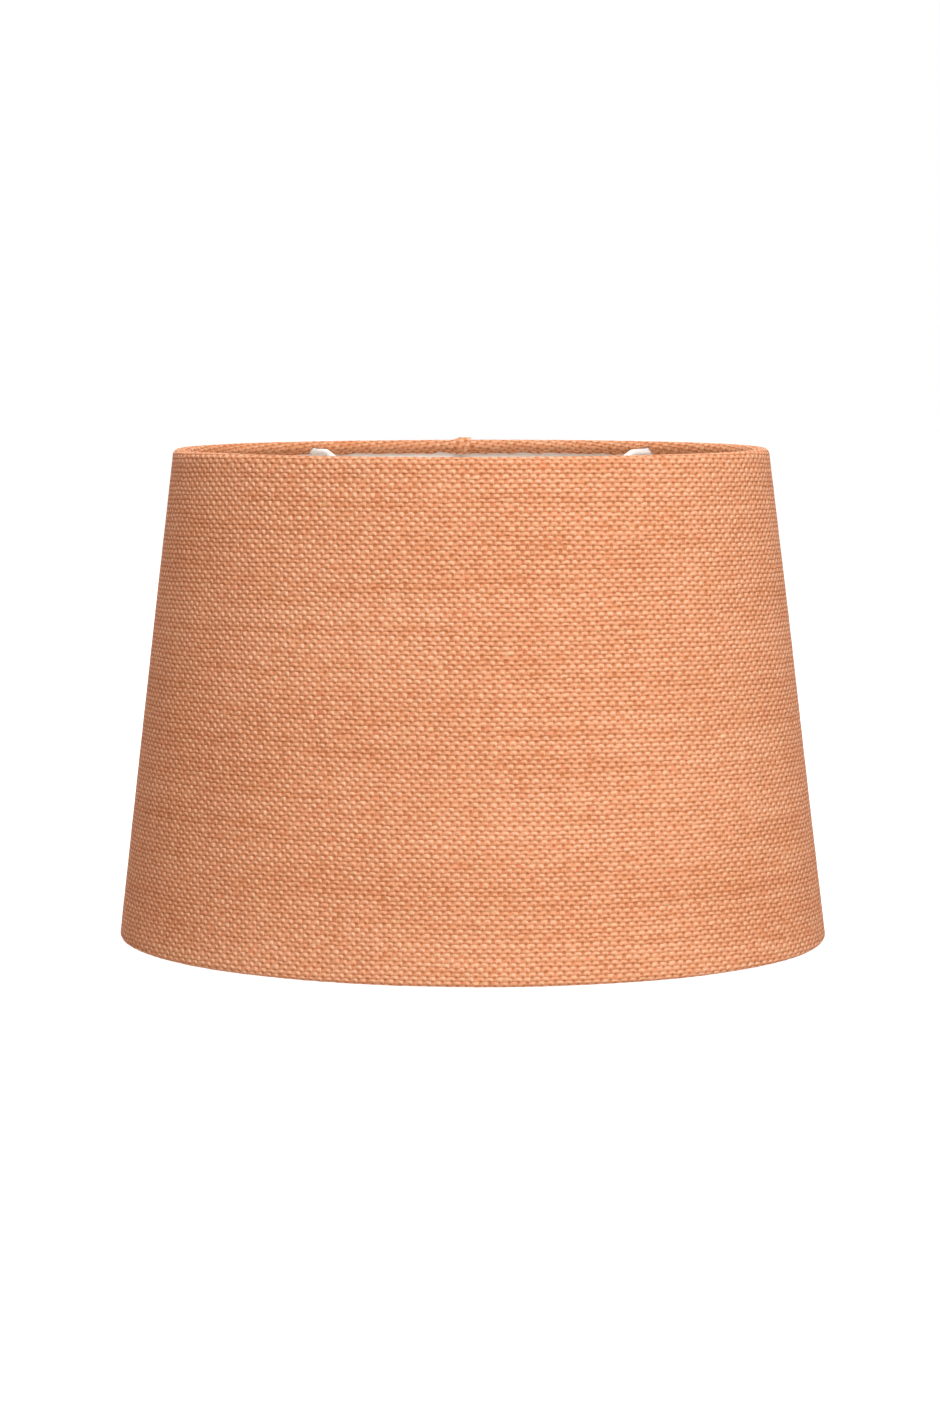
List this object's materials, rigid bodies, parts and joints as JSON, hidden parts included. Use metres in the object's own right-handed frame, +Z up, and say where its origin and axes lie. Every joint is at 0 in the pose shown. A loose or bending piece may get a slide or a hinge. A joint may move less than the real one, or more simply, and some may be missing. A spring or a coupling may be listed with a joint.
{
  "type": "lamp shade",
  "caption": "Tapered oval lamp shade in coarse woven jute cloth, rolled over wire hoops, with a white liner and a recessed four-arm spider with a fitter ring.",
  "frame": {"origin": "centre of the fitter ring's bore, half way through its thickness", "axes": "+X along the oval's long axis, +Y to the back where the seam is, +Z up out of the top mouth"},
  "size_m": [0.3295, 0.2148, 0.2279],
  "materials": {
    "jute_cloth": "coarse plain weave, matt",
    "white_liner": "smooth satin film",
    "white_wire": "white powder coat, semi-gloss",
    "white_ring": "white powder coat, semi-gloss"
  },
  "bodies": {
    "root": {"fabric_cover": "jute_cloth", "liner": "white_liner", "top_hoop": "white_wire", "bottom_hoop": "white_wire", "fitter_ring": "white_ring", "arm_back_right": "white_wire", "arm_back_left": "white_wire", "arm_front_left": "white_wire", "arm_front_right": "white_wire"}
  },
  "joints": []
}
